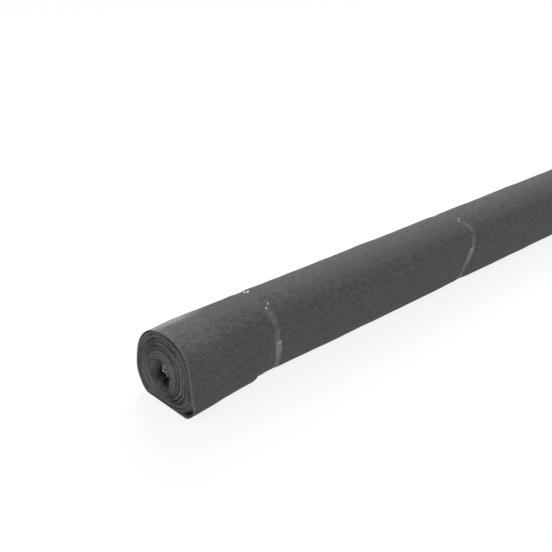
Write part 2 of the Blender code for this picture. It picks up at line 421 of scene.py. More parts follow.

# %% [markdown]
# ## The screen cloth
#
# Insect screen is a plain weave of glass-fibre yarn in a matt grey PVC coat, about 0.28 mm thick
# with a yarn every 1.5 mm. One layer is mostly holes, so through it the next layer shows, darker,
# and its yarns fall now behind a yarn and now behind a hole. That makes the soft mottled bands
# that such cloth shows from a few steps away. The layer below and the depth in the holes are given
# darker colours, for the shade that the top layer casts on them: painted shade.
#
# The material does the same: two bands of waves for the yarns of the top layer, and two more,
# slightly turned and stretched, for the layer below. Wider, wandering bands stand for the slow beat
# between the yarns of two layers. Noise stands for what a real weave is never free of: drawn out
# along both yarn directions, for yarns that are thicker or lie closer for a while, and in wide soft
# patches where the layers touch. An attribute tells where light is painted in: a paler copy of the
# yarn colours goes over where light shines through a single layer that has lifted off, and where
# cut edges and folds catch the light. Two more tell where a tape is stuck on: its glue wets the
# yarns and fills the holes, so the cloth looks greyer up to the tape's sharp edge.

# %% Weave and mottle
YARN_PITCH = 1.5 * MM
YARN_HEIGHT = 0.15 * MM
YARN_RELIEF = 0.8
HOLE_UP_TO = 0.45
YARN_FROM = 0.80
WANDER_TOP = 1.5
WANDER_BELOW = 2.5
LAYER_BELOW_STRETCH = 1.16
LAYER_BELOW_TURN = math.radians(4.0)
WAVE_PERIOD = math.pi / 10
NOISES = (
    # size, stretch along the roll and round it, roughness, share that it takes of the mix so far
    (1.7 * MM, (0.42, 1.0, 1.0), 0.6, 1.0),
    (1.7 * MM, (1.0, 0.42, 1.0), 0.6, 0.4),
    (7.0 * MM, (0.55, 1.0, 1.0), 0.5, 0.26),
)
BAND_PITCH = 4.6 * MM
BAND_WANDER = 9.0
BAND_SHARE = 0.045
MOTTLE_FROM = 0.335
MOTTLE_TO = 0.665


def add_weave(tree, place, wander):
    """Two bands of waves square to each other, one for each set of yarns, and the higher of both.

    A wave texture repeats every pi/10 units at scale 1, so the scale for a pitch is that period
    divided by the pitch. The wander bends the yarns a little, as a soft cloth's do.
    """
    yarns = [
        add_node(tree, "TexWave", {"Vector": place, "Scale": WAVE_PERIOD / YARN_PITCH, "Distortion": wander,
                                   "Detail": 1.0, "Detail Scale": 0.35},
                 wave_type="BANDS", bands_direction=direction)
        for direction in ("X", "Y")
    ]
    return add_node(tree, "Math", {0: yarns[0], 1: yarns[1]}, operation="MAXIMUM")


def add_mottle(tree, place):
    """Noises on a stretched place, each mixed into those before it, then the wandering bands.

    The middle stretch of what comes out is spread over 0 to 1, which gives the contrast.
    """
    mottle = 0.0
    for size, stretch, roughness, share in NOISES:
        drawn = add_node(tree, "VectorMath", {0: place, 1: stretch}, operation="MULTIPLY")
        noise = add_node(tree, "TexNoise", {"Vector": drawn, "Scale": 1 / size, "Detail": 2.0,
                                            "Roughness": roughness})
        mottle = add_node(tree, "Mix", {"Factor": share, "A": mottle, "B": noise})
    bands = add_node(tree, "TexWave", {"Vector": place, "Scale": WAVE_PERIOD / BAND_PITCH,
                                       "Distortion": BAND_WANDER, "Detail": 1.0, "Detail Scale": 0.3},
                     wave_type="BANDS", bands_direction="Y")
    mottle = add_node(tree, "Mix", {"Factor": BAND_SHARE, "A": mottle, "B": bands})
    return add_node(tree, "MapRange", {"Value": mottle, "From Min": MOTTLE_FROM, "From Max": MOTTLE_TO})


print(f"weave: yarns every {YARN_PITCH / MM:.1f} mm, mottled by {len(NOISES)} noises")

# %% Screen cloth material
YARN_LIT = "#676767"
YARN_DIM = "#383838"
FRAYED_LIT = "#606060"
FRAYED_DIM = "#2A2A2A"
# A paler copy of the yarn colours, for where light is painted in: painted light.
PAINTED_LIGHT_PALE = "#E8E8E8"
PAINTED_LIGHT_DIM = "#454545"
# The layer below and the holes are painted dark: painted shade under the top layer.
YARN_BELOW_IN_SHADE = "#363636"
HOLE_IN_SHADE = "#1C1C1C"
GLUED = "#A8A8A8"
TAPE_EDGE = 0.3 * MM


def screen_cloth(name, yarn_lit, yarn_dim):
    """Woven glass fibre in a PVC coat: dull, painted nearly black in the holes as shade, and painted pale
    where light shines through.

    Its colour starts as the layer below, painted dark as shade. The yarns, the painted light and the glue go
    over it in turn.
    """
    material, tree, shader = new_material(name, Roughness=0.75, IOR=1.5, Specular_IOR_Level=0.08)
    place = add_node(tree, "UVMap", uv_map="cloth")
    turned = add_node(tree, "Mapping", {"Vector": place, "Rotation": (0.0, 0.0, LAYER_BELOW_TURN),
                                        "Scale": (LAYER_BELOW_STRETCH, LAYER_BELOW_STRETCH, 1.0)})
    top = add_weave(tree, place, WANDER_TOP)
    below = add_weave(tree, turned, WANDER_BELOW)
    mottle = add_mottle(tree, place)
    painted_light, inside_tape, tape_grey = (add_node(tree, "Attribute", attribute_name=value)
                                    for value in ("painted_light", "inside_tape", "tape_grey"))
    covered = add_node(tree, "MapRange", {"Value": top, "From Min": HOLE_UP_TO, "From Max": YARN_FROM})
    glue = add_node(tree, "MapRange", {"Value": inside_tape, "From Max": TAPE_EDGE, "To Max": tape_grey})
    colour, yarn, painted_light_yarn = (
        add_node(tree, "Mix", {"Factor": factor, "A": linear(dark), "B": linear(light)}, data_type="RGBA")
        for factor, dark, light in (
            (below, HOLE_IN_SHADE, YARN_BELOW_IN_SHADE), (mottle, yarn_dim, yarn_lit), (mottle, PAINTED_LIGHT_DIM, PAINTED_LIGHT_PALE)))
    # Over the yarns goes the painted light, then the glue.
    for factor, over in ((covered, yarn), (painted_light, painted_light_yarn), (glue, linear(GLUED))):
        colour = add_node(tree, "Mix", {"Factor": factor, "A": colour, "B": over}, data_type="RGBA")
    bump = add_node(tree, "Bump", {"Height": top, "Distance": YARN_HEIGHT, "Strength": YARN_RELIEF})
    tree.links.new(colour, shader.inputs["Base Color"])
    tree.links.new(bump, shader.inputs["Normal"])
    return material


cloth = screen_cloth("woven_pvc_coated_glass_fibre", YARN_LIT, YARN_DIM)
inner_cloth = screen_cloth("frayed_pvc_coated_glass_fibre", FRAYED_LIT, FRAYED_DIM)
print(f"screen cloth: {len(cloth.node_tree.nodes)} nodes in each of two materials")

# %% [markdown]
# ## The edges of the turns
#
# In the ends of the roll one looks at the edges of the cloth, turn beside turn. A real roll has
# about 125 of them. The mesh holds forty ridges, each of about three turns, and the material adds
# the single turns between them: a fine line at a fixed share of each ridge, read from an attribute
# that counts the turns from the hollow outwards, so that the lines wind with the spiral. Noise along
# the same count makes some turns lighter than others. A second attribute, "shade", tells how far a
# place stands out from its neighbours, and carries painted light and shade: what stands out is
# painted light, the gaps are painted dark, and more light is painted on in some directions.

# %% Wound edge material
LINES_PER_RIDGE = 3
LINE_RELIEF = 0.7
LINE_DEPTH = 0.12 * MM
LINE_SHARE = 0.08
TONES_PER_RIDGE = 0.9
TONE_SHARE = 2.6
TONE_BEND = 2.5
TONE_BEND_SIZE = 30 * MM
YARN_END_SHARE = 1.5
YARN_END_SIZE = 1.5 * MM
SHADE_POWER = 1.3
# The shade attribute mixes these two: a painted lit grey and a painted shaded grey of the same cut edges,
# with real tones of the turns mixed in.
EDGE_LIT = "#727272"
EDGE_DIM = "#141414"


def wound_edges(name):
    """The side of many layers of coated yarn: dull and lined, painted lighter where an edge stands out and
    darker in the gaps.

    The shade, the tones of the turns, the yarn ends and the lines are added up, each with its weight,
    and a power spreads the dark end of the sum.
    """
    material, tree, shader = new_material(name, Roughness=0.75, IOR=1.5, Specular_IOR_Level=0.15)
    turn, shade = (add_node(tree, "Attribute", attribute_name=value) for value in ("turn", "shade"))
    place = add_node(tree, "TexCoord", output="Object")
    phase = add_node(tree, "Math", {0: turn, 1: 2 * math.pi * LINES_PER_RIDGE}, operation="MULTIPLY")
    wave = add_node(tree, "Math", {0: phase}, operation="COSINE")
    bend = add_node(tree, "TexNoise", {"Vector": place, "Scale": 1 / TONE_BEND_SIZE})
    bent = add_node(tree, "Math", {0: bend, 1: TONE_BEND, 2: turn}, operation="MULTIPLY_ADD")
    tones = add_node(tree, "TexNoise", {"W": bent, "Scale": TONES_PER_RIDGE, "Detail": 2.0},
                     noise_dimensions="1D")
    yarn_ends = add_node(tree, "TexNoise", {"Vector": place, "Scale": 1 / YARN_END_SIZE, "Detail": 2.0})
    total = shade
    for pattern, weight in ((tones, TONE_SHARE), (yarn_ends, YARN_END_SHARE), (wave, LINE_SHARE)):
        total = add_node(tree, "Math", {0: pattern, 1: weight, 2: total}, operation="MULTIPLY_ADD")
    centred = add_node(tree, "Math", {0: total, 1: (TONE_SHARE + YARN_END_SHARE) / 2},
                       operation="SUBTRACT", use_clamp=True)
    lit = add_node(tree, "Math", {0: centred, 1: SHADE_POWER}, operation="POWER")
    colour = add_node(tree, "Mix", {"Factor": lit, "A": linear(EDGE_DIM), "B": linear(EDGE_LIT)},
                      data_type="RGBA")
    fine = add_node(tree, "Math", {0: wave, 1: yarn_ends}, operation="ADD")
    bump = add_node(tree, "Bump", {"Height": fine, "Distance": LINE_DEPTH, "Strength": LINE_RELIEF})
    tree.links.new(colour, shader.inputs["Base Color"])
    tree.links.new(bump, shader.inputs["Normal"])
    return material


edges = wound_edges("cut_edges_of_glass_fibre_cloth")
print(f"wound edges: {LINES_PER_RIDGE} lines in each ridge")

# %% [markdown]
# ## The wound turns
#
# The turns could be one very long sheet, but nobody sees more of it than its edge. So they are one
# closed body: an outside, a hollow, and two ends that are worked out finely. Each end is a grid
# whose rows are not rings but one spiral. Row by row it goes from the hollow outwards, column by
# column round the roll, and where the last column meets the first, each row joins the row that
# lies one turn further out. That is how the ridges climb without a step.
#
# All parts of the body share their columns, which stand closer together where the outline turns
# sharply. The body stays a little inside the outermost sheet. At the loosened corner it keeps well
# away from it, and the dark pocket there is what is left open between them.

# %% Way of the winding
COLUMNS = 220
SPIRAL_START = math.radians(233)
TURNING_WEIGHT = 0.6
SHEET_THICKNESS = 0.5 * MM
SHEET_CLEARANCE = 0.3 * MM
WINDING_INSET_AT_END = 1.75 * MM
WINDING_INSET = 2.6 * MM
INSET_RUN = 40 * MM
POCKET_SHARE = 0.17
POCKET = (-33, 36)
POCKET_RUN = 9 * MM


def spread_angles(curve, columns):
    """Angles of the columns, clockwise from the spiral's start, even in length plus turning of the curve."""
    step = np.roll(curve, -1, axis=0) - curve
    heading = np.arctan2(step[:, 1], step[:, 0])
    turning = np.abs((heading - np.roll(heading, 1) + math.pi) % (2 * math.pi) - math.pi)
    length = np.hypot(step[:, 0], step[:, 1])
    share = length / length.sum() + TURNING_WEIGHT * turning / turning.sum()
    offset = curve - MIDDLE
    past_start = (SPIRAL_START - np.arctan2(offset[:, 1], offset[:, 0])) % (2 * math.pi)
    order = np.argsort(past_start)
    travelled = np.concatenate(([0.0], np.cumsum(share[order])))
    angles = np.concatenate((past_start[order], [2 * math.pi]))
    angles[0] = 0.0
    return SPIRAL_START - np.interp(np.arange(columns) / columns * travelled[-1], travelled, angles)


def winding_reach(angle, distance):
    """How far the wound turns reach: inside the outermost sheet, and further inside at the pocket.

    The pocket is a share of the wall, largest in its own direction, and closes along the roll.
    """
    grown = smooth(from_end(distance) / INSET_RUN)
    inset = WINDING_INSET_AT_END + (WINDING_INSET - WINDING_INSET_AT_END) * grown
    outside = cloth_reach(angle, distance) - inset
    pocket = POCKET_SHARE * bell(angle, *POCKET) * (1 - smooth(distance / POCKET_RUN))
    return outside - pocket * (outside - read_reach(HOLLOW, angle))


def winding_points(share, angle, distance, depth=0.0):
    """Points of the wall at a share of the way from the hollow to the outside, set in by a depth."""
    inside = read_reach(HOLLOW, angle)
    reach = inside + share * (winding_reach(angle, distance) - inside)
    return at_place(reach, angle, distance + depth, SHEET_THICKNESS + 2 * SHEET_CLEARANCE)


ANGLES = spread_angles(LOOSENED_CURVE, COLUMNS)
DIRECTIONS = np.degrees(ANGLES)
AROUND = (SPIRAL_START - ANGLES) / (2 * math.pi)
print(f"winding: {COLUMNS} columns, {np.ptp(DIRECTIONS):.0f} degrees from the first to the last")

# %% [markdown]
# ## The ends of the turns
#
# The turns are not wound evenly. Bundles of two or three of them stand out or lie back. Here and
# there a gap stands open between two turns: its two sides are pushed apart, the turns beside it
# press closer together, and its bottom goes deep. A table places each gap by what is easiest to
# judge: how far out it lies, in which direction, how far round it reaches, how wide and how deep
# it is. Another shifts the turns in or out by direction, where the wall has sagged.
#
# An edge that stands out from its neighbours is painted lighter than one that lies back, and the
# gaps get painted shade. Light and shade are also painted on by direction, most light at the
# crown's rim, and a table by share of the wall makes some rings lighter or darker. All of it
# becomes one number for each point, which the material reads as its shade.

# %% Ends of the turns
TURNS = 40
BUNDLES = (
    # last turn, how far it stands out in mm
    (3, 0.5), (6, 1.2), (8, 0.3), (11, 1.0), (14, 0.4), (16, 1.3), (19, 0.6), (22, 1.4),
    (25, 0.5), (28, 1.2), (30, 0.5), (33, 1.3), (36, 0.6), (38, 1.2), (40, 1.7),
)
TURN_PROFILE = (
    # share of the turn, how far in it lies in mm
    (0.00, 0.70), (0.22, 0.12), (0.50, 0.00), (0.80, 0.15),
)
FACE_SET_IN = 0.4 * MM
FACE_UNEVEN = 0.5 * MM
FACE_KNOTS_PER_TURN = 1.6
TURN_UNEVEN = 0.30 * MM
TURN_KNOTS_PER_TURN = 2.5
BUNDLE_STEP = 1.7 * MM
BUNDLE_GAP = 2.6 * MM
BUNDLE_GAP_WIDTH = 0.40 * MM
GAP_REACH = 2.2
WALL_MARGIN = 0.001
NEAR_GAPS = (
    # share of the wall, direction in degrees, spread in degrees, half width in mm, depth in mm
    (0.54, 124, 46, 1.1, 5.0),
    (0.46, 108, 36, 0.6, 3.5),
    (0.69, 112, 38, 0.8, 4.5),
    (0.66, 82, 30, 0.5, 3.0),
    (0.38, 96, 32, 0.4, 3.0),
    (0.30, 62, 26, 0.4, 2.5),
    (0.48, 55, 28, 0.4, 2.5),
    (0.62, 50, 30, 0.4, 3.0),
    (0.78, 48, 30, 0.5, 3.0),
    (0.88, 6, 34, 0.9, 6.0),
    (0.70, 14, 28, 0.4, 3.0),
    (0.56, 8, 30, 0.5, 3.0),
    (0.36, -30, 34, 0.4, 3.0),
    (0.44, -30, 30, 0.5, 4.0),
    (0.57, -32, 38, 1.1, 6.0),
    (0.69, -34, 32, 0.7, 5.0),
    (0.78, -36, 26, 0.4, 4.0),
    (0.30, -60, 30, 0.3, 2.0),
    (0.25, 172, 40, 0.4, 2.0),
    (0.45, 192, 44, 0.5, 2.5),
    (0.64, 184, 40, 0.5, 2.5),
    (0.82, 204, 40, 0.4, 2.0),
    (0.60, 248, 36, 0.4, 2.0),
)
FAR_GAPS = (
    # the same for the far end
    (0.30, 150, 50, 0.6, 3.0),
    (0.55, 60, 60, 0.8, 4.0),
    (0.75, 140, 50, 0.7, 4.0),
    (0.45, -20, 50, 0.8, 4.0),
    (0.70, -10, 40, 1.0, 5.0),
    (0.85, 60, 40, 0.6, 4.0),
)
WALL_SHIFT = (
    # direction in degrees, share of the wall by which the middle turns lie further out
    (-75, 0.05), (-60, 0.04), (-45, -0.02), (-30, -0.07), (-16, -0.03), (0, 0.02), (16, 0.05), (50, 0.07),
    (75, 0.08), (90, 0.05), (105, 0.02), (125, 0.00), (150, -0.03), (190, -0.03), (240, 0.00),
)
SHADE_ROWS = 6
SHADE_DEPTH = 1.0 * MM
EDGE_LIGHT_BY_DIRECTION = (
    # direction in degrees, how much light is painted on the edges there
    (-60, 0.00), (-30, 0.02), (0, -0.06), (30, 0.06), (60, -0.15), (90, 0.01),
    (120, 0.15), (150, 0.03), (180, 0.05), (210, 0.32), (240, 0.20), (275, 0.05),
)
EDGE_TONE_ACROSS = (
    # share of the wall, how much lighter the edges are painted there
    (0.05, 0.10), (0.30, 0.08), (0.42, -0.03), (0.70, -0.06), (0.86, 0.08), (1.00, 0.00),
)
# A painted highlight on the outer edges round the crown's rim.
RIM_HIGHLIGHT = 0.38
RIM = (122, 60)
RIM_FROM = 0.80
RIM_RUN = 0.12


def edge_shade(depth, share):
    """How light the edges are painted: a half where they are level, more where they stand out, less in the
    gaps, plus painted light by direction, at the rim and by share of the wall.

    A place is judged by its depth against the average of the rows round it, from a running sum.
    """
    padded = np.pad(depth, ((SHADE_ROWS + 1, SHADE_ROWS), (0, 0)), mode="edge")
    sums = np.cumsum(padded, axis=0)
    average = (sums[2 * SHADE_ROWS + 1:] - sums[:-2 * SHADE_ROWS - 1]) / (2 * SHADE_ROWS + 1)
    # Painted shade in the gaps, painted light on what stands out.
    shade = np.clip(0.5 + 0.5 * (average - depth) / SHADE_DEPTH, 0, 1)
    shade = shade + read_table(EDGE_LIGHT_BY_DIRECTION, DIRECTIONS, period=360) + read_table(EDGE_TONE_ACROSS, share)
    return shade + RIM_HIGHLIGHT * bell(ANGLES, *RIM) * smooth((share - RIM_FROM) / RIM_RUN)


def end_grid(distance, inwards, gaps, seed):
    """Points of one wound end, the turn that each lies on and its shade, as rows of the spiral.

    A row lies at a whole turn plus its share of the profile. The place along the wall is that turn
    over all turns. A gap pushes the rows outside it out and the rows inside it in, by its half
    width at the gap and less by an exponential further off, and sets its own row in by its depth.
    The wall's shift is a parabola over the share, largest half way.
    """
    whole, part = np.divmod(np.arange(len(TURN_PROFILE) * (TURNS - 1) + 1), len(TURN_PROFILE))
    profile = np.array(TURN_PROFILE) * [1.0, MM]
    row = (whole + profile[part, 0])[:, None]
    turn = row + AROUND
    wall = winding_reach(ANGLES, distance) - read_reach(HOLLOW, ANGLES)
    unrolled = turn - row + whole[:, None]
    valley = part[:, None] == 0
    last_turns, stands_out = (np.array(BUNDLES) * [1.0, MM]).T
    bundle = np.searchsorted(last_turns, whole, side="right")
    between = (part == 0) & np.isin(whole, last_turns)
    depth = FACE_SET_IN + BUNDLE_STEP - stands_out[bundle] + profile[part, 1] + BUNDLE_GAP * between
    depth = depth[:, None] + FACE_UNEVEN * (1 + unevenness(unrolled, seed, FACE_KNOTS_PER_TURN))
    share = turn / TURNS + TURN_UNEVEN * unevenness(unrolled, seed + 1, TURN_KNOTS_PER_TURN) / wall
    since = whole - last_turns[np.maximum(bundle - 1, 0)] + profile[part, 0]
    pushed_out = np.where((since > 0) & (bundle > 0), np.exp(-since), 0.0)[:, None]
    share = share + BUNDLE_GAP_WIDTH / wall * pushed_out
    for place, direction, spread, width, deeper in gaps:
        past_start = (SPIRAL_START - math.radians(direction)) % (2 * math.pi)
        away = row - round(place * TURNS - past_start / (2 * math.pi))
        here = bell(ANGLES, direction, spread)
        share = share + width * MM / wall * here * np.sign(away) * np.exp(-np.abs(away) / GAP_REACH)
        depth = depth + deeper * MM * here * (valley & (np.abs(away) < 0.5))
    share = np.clip(share, WALL_MARGIN, 1 - WALL_MARGIN)
    share = share + 4 * share * (1 - share) * read_table(WALL_SHIFT, DIRECTIONS, period=360)
    return winding_points(share, ANGLES, distance, inwards * depth), turn, edge_shade(depth, share)


NEAR_FACE = end_grid(0.0, 1, NEAR_GAPS, seed=3)
FAR_FACE = end_grid(LENGTH, -1, FAR_GAPS, seed=11)
print(f"ends: {TURNS} ridges, {len(NEAR_GAPS)} gaps in the near end and {len(FAR_GAPS)} in the far one")

# %% [markdown]
# ## The wound body
#
# Two plain grids of rings join the ends: the outside, and the wall of the hollow, whose rings stand
# closer in its mouths. Each spiral's first and last rows join these rings, so the body is closed.
#
# Light falls into the hollow from above, so its wall is lightest a little inside the mouth and dark
# further in. A table gives by direction how light it starts and how deep the light reaches.

# %% Wound body
SKIN_RINGS = 61
SKIN_SHADE = 0.8
MOUTH_RINGS = 10
THROUGH_RINGS = 24
HOLLOW_SET_IN = 1.6 * MM
HOLLOW_MOUTH = 30 * MM
HOLLOW_LIGHT = (
    # direction in degrees, how light the wall is at its mouth, how deep the light reaches in mm
    (0, 0.10, 12), (70, 0.12, 14), (110, 0.45, 36), (150, 0.72, 42), (185, 0.70, 38),
    (203, 0.52, 24), (222, 0.25, 13), (245, 0.34, 16), (300, 0.25, 14),
)
HOLLOW_FADE = (
    # share of the depth that the light reaches, how light compared with the mouth
    (0.00, 1.00), (0.30, 1.45), (0.50, 1.20), (0.75, 0.45), (1.00, 0.00),
)


def spiral_faces(inner, rows, outer):
    """Faces of a wound end from the numbers of its points: the hollow's ring, the rows, the outside ring.

    Past the last column a row joins the row one turn further out. A fan fills the start and the end
    of the spiral.
    """
    turn_rows = len(TURN_PROFILE)
    grid = np.vstack([inner[None], rows, outer[None]])
    body = np.stack([grid[:-1, :-1], grid[1:, :-1], grid[1:, 1:], grid[:-1, 1:]], axis=-1).reshape(-1, 4)
    seam = np.stack([rows[:-turn_rows - 1, -1], rows[1:-turn_rows, -1], rows[turn_rows + 1:, 0],
                     rows[turn_rows:-1, 0]], axis=-1)
    start = [inner[-1], rows[0, -1], *rows[turn_rows::-1, 0], inner[0]]
    end = [*rows[-turn_rows - 1:, -1], outer[-1], outer[0], rows[-1, 0]]
    return body.tolist() + seam.tolist() + [[int(i) for i in start], [int(i) for i in end]]


def wound_turns():
    """The wound cloth as one closed body, with the turn count and the shade for its material."""
    (near_points, near_turn, near_shade), (far_points, far_turn, far_shade) = NEAR_FACE, FAR_FACE
    along = LENGTH * np.linspace(0, 1, SKIN_RINGS)[:, None]
    along[[0, -1], 0] = FACE_SET_IN + FACE_UNEVEN, LENGTH - FACE_SET_IN - FACE_UNEVEN
    mouth = HOLLOW_SET_IN + HOLLOW_MOUTH * np.linspace(0, 1, MOUTH_RINGS, endpoint=False)
    inside = np.linspace(mouth[-1], LENGTH - mouth[-1], THROUGH_RINGS)[1:-1]
    through = np.concatenate((mouth, inside, LENGTH - mouth[::-1]))[:, None]
    blocks = [near_points, far_points, winding_points(1.0, ANGLES, along),
              winding_points(0.0, ANGLES, through)]
    counts = [len(block) for block in blocks]
    starts = [COLUMNS * sum(counts[:k]) for k in range(len(counts))]
    near, far, skin, inner = (point_numbers(rows, COLUMNS, first) for rows, first in zip(counts, starts))
    faces = spiral_faces(inner[0], near, skin[0]) + spiral_faces(inner[-1], far, skin[-1])
    for rings, first in zip(counts[2:], starts[2:]):
        faces += grid_faces(rings, COLUMNS, first, closed_round=True)
    piece = new_piece("wound_turns", np.vstack([block.reshape(-1, 3) for block in blocks]), faces, edges)
    at_mouth = read_table(HOLLOW_LIGHT, DIRECTIONS, column=1, period=360)
    lit_run = MM * read_table(HOLLOW_LIGHT, DIRECTIONS, column=2, period=360)
    hollow_shade = at_mouth * read_table(HOLLOW_FADE, from_end(through) / lit_run)
    turn = [near_turn, far_turn, np.full(skin.shape, TURNS), np.zeros(inner.shape)]
    shade = [near_shade, far_shade, np.full(skin.shape, SKIN_SHADE), hollow_shade]
    add_values(piece, "turn", np.vstack(turn))
    add_values(piece, "shade", np.vstack(shade))
    turn_outwards(piece)
    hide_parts("roll")
    return piece


wound = wound_turns()
print(f"wound turns: {len(wound.data.polygons)} faces in one closed body")

# %% [markdown]
# ## Soft relief in the cloth
#
# Cloth is never as smooth as its section. It is drawn in under each tape and ripples beside it, a
# crease runs off the loosened corner, and long shallow waves lie all over it. Sculpting could do
# this, and so could a simulation. Here the relief is a sum of simple formulas over the unrolled
# cloth, because each one can be read and changed: a wave, a ripple that fades away from a tape, and
# a trough along a line between two places.

# %% Relief of the outermost turn
TAPES = (
    # name, solid it stands for, distance from the near end, degrees it is turned by, side it wanders to
    ("tape_near", "band_near", 0.156, 0, 1),
    ("tape_middle", "band_middle", 0.600, 9, -1),
    ("tape_far", "band_far", 1.044, 18, 1),
)
TAPE_PLACES = [tape[2] for tape in TAPES]
TAPE_DRAW_IN = 0.9 * MM
TAPE_SEAT = 7.0 * MM
TAPE_SHOULDER = 8.0 * MM
WAVES = (
    # height in mm, length along the roll, times round it, phase
    (0.22, 0.210, 1, 0.4), (0.16, 0.127, 2, 2.1), (0.12, 0.083, -1, 4.0), (0.08, 0.051, 3, 1.2),
    (0.06, 0.036, -2, 5.3),
)
RIPPLE_HEIGHT = 0.16 * MM
RIPPLE_LENGTH = 10 * MM
RIPPLE_START = 4 * MM
RIPPLE_RUN = 26 * MM
RIPPLE_BEND = 2.5 * MM
RIPPLE_BENDS_ROUND = 3
RIPPLE_BEND_SHIFT = 40
RIPPLE_LEAST = 0.35
RIPPLED = (-15, 70)
CREASES = (
    # start distance, start direction in degrees, end distance, end direction, half width in mm, depth in mm
    (-0.010, -14.0, 0.060, -18.5, 3.0, 0.55),
    (0.020, -36.0, 0.110, -24.0, 4.0, 0.40),
    (0.060, 6.0, 0.140, -26.0, 5.0, 0.35),
    (0.070, 34.0, 0.150, 4.0, 5.0, 0.20),
    (0.405, -12.0, 0.452, 6.0, 4.0, 0.35),
    (0.398, 14.0, 0.420, 12.0, 3.5, 0.25),
    (0.200, -30.0, 0.330, 10.0, 6.0, 0.18),
    (0.260, 60.0, 0.370, 20.0, 6.0, 0.15),
    (0.480, -34.0, 0.560, -5.0, 5.0, 0.25),
    (0.640, 20.0, 0.760, -25.0, 6.0, 0.25),
    (0.820, 70.0, 0.960, 10.0, 6.0, 0.20),
    (0.700, 190.0, 0.860, 150.0, 6.0, 0.25),
    (0.180, 205.0, 0.310, 165.0, 5.0, 0.25),
    (1.080, 30.0, 1.200, -12.0, 5.0, 0.35),
)
CREASE_END_POWER = 0.7
CREASE_RIDGE = 0.5
CREASE_RIDGE_OFF = 1.8
STEPS_ROUND = 720
LOOSENED_STEPS = np.linspace(SPIRAL_START, SPIRAL_START - 2 * math.pi, STEPS_ROUND + 1)
LOOSENED_LINE = at_place(read_reach(LOOSENED, LOOSENED_STEPS), LOOSENED_STEPS, 0.0)
LOOSENED_LENGTH = np.concatenate(([0.0], np.cumsum(np.linalg.norm(np.diff(LOOSENED_LINE, axis=0), axis=1))))
PERIMETER = LOOSENED_LENGTH[-1]


def way_round(angle):
    """Length of cloth from the spiral's start to an angle, clockwise. It keeps growing past one turn."""
    clockwise = SPIRAL_START - angle
    whole = np.floor(clockwise / (2 * math.pi))
    rest = clockwise - whole * 2 * math.pi
    return whole * PERIMETER + np.interp(rest, SPIRAL_START - LOOSENED_STEPS, LOOSENED_LENGTH)


def tape_pull(distance):
    """1 under a tape, falling to 0 over a soft shoulder on both sides of it."""
    nearest = np.min([np.abs(distance - at) for at in TAPE_PLACES], axis=0)
    return 1 - smooth((nearest - TAPE_SEAT) / TAPE_SHOULDER)


def relief(angle, distance):
    """How far the cloth stands out at an angle and a distance, as a sum of waves, ripples and creases.

    A wave is a sine along and round the roll. Ripples run round the roll beside a tape and fade
    away from it. A crease is a trough along a line on the unrolled cloth, deepest half way, with a
    low ridge on both sides.
    """
    height = -TAPE_DRAW_IN * tape_pull(distance)
    for size, length, times, phase in WAVES:
        height = height + size * MM * np.sin(2 * math.pi * distance / length + times * angle + phase)
    strength = RIPPLE_LEAST + (1 - RIPPLE_LEAST) * bell(angle, *RIPPLED)
    for at in TAPE_PLACES:
        off = np.maximum(np.abs(distance - at) - TAPE_SEAT, 0)
        bent = distance + RIPPLE_BEND * np.sin(RIPPLE_BENDS_ROUND * angle + RIPPLE_BEND_SHIFT * at)
        fading = strength * np.exp(-off / RIPPLE_RUN) * smooth(off / RIPPLE_START)
        height = height + RIPPLE_HEIGHT * fading * np.sin(2 * math.pi * (bent - at) / RIPPLE_LENGTH)
    cloth_place = way_round(angle) % PERIMETER
    for start, start_way, end, end_way, *section in CREASES:
        width, depth = (value * MM for value in section)
        first, last = (np.array([place, way_round(math.radians(way)) % PERIMETER])
                       for place, way in ((start, start_way), (end, end_way)))
        run = last - first
        off_x, off_y = distance - first[0], cloth_place - first[1]
        along = (off_x * run[0] + off_y * run[1]) / (run @ run)
        across = (off_x * run[1] - off_y * run[0]) / np.linalg.norm(run)
        ends = np.sin(math.pi * np.clip(along, 0, 1)) ** CREASE_END_POWER
        beside = (np.abs(across) - CREASE_RIDGE_OFF * width) / width
        height = height - depth * ends * np.exp(-(across / width) ** 2)
        height = height + CREASE_RIDGE * depth * ends * np.exp(-beside ** 2)
    return height


print(f"relief: {len(WAVES)} waves, {len(CREASES)} creases, {PERIMETER:.3f} m round the roll")

# %% [markdown]
# ## The way of the tapes
#
# The tapes were put on by hand, a little more than once round, so each wanders along the roll. One
# table holds that way, and both the cloth below and the film above read it. A place on the cloth
# is told how far it lies inside the tape's edge. The distance is even where the mesh is coarse,
# and the material cuts it off at nought, which keeps the edge sharp.

# %% Way of the tapes
TAPE_WIDTH = 10.0 * MM
TAPE_CURVE_STEPS = 12
TAPE_PATH = (
    # direction in degrees from the hidden start, anticlockwise, and shift along the roll in mm
    (-48, 9.0), (-30, 7.8), (-18, 6.0), (-10, 4.4), (4, 1.4), (18, -2.2), (30, -3.8), (36, -5.2),
    (41, -4.7), (46, -4.2), (51, -2.4), (57, -1.4), (88, 1.0), (130, 2.0), (180, 1.0), (230, 0.0),
    (275, 3.0), (312, 9.4), (330, 8.2), (342, 6.2), (350, 5.7), (364, 3.9), (372, 2.8),
)
TAPE_GREY = (
    # direction in degrees, how much greyer the cloth looks under the film
    (-48, 0.10), (12, 0.13), (22, 0.11), (26, 0.05), (33, 0.05), (37, 0.11), (46, 0.09), (60, 0.00),
    (100, 0.00), (140, 0.10), (311, 0.10), (312, 0.15), (340, 0.17), (350, 0.25), (372, 0.25),
)
FAR_OUTSIDE = -LENGTH
TAPE_CURVE = open_curve(np.array(TAPE_PATH) * [math.pi / 180, MM], TAPE_CURVE_STEPS)


def tape_shift(way):
    """How far the tape's middle is shifted along the roll at an angle from its hidden start."""
    return np.interp(way, *TAPE_CURVE.T)


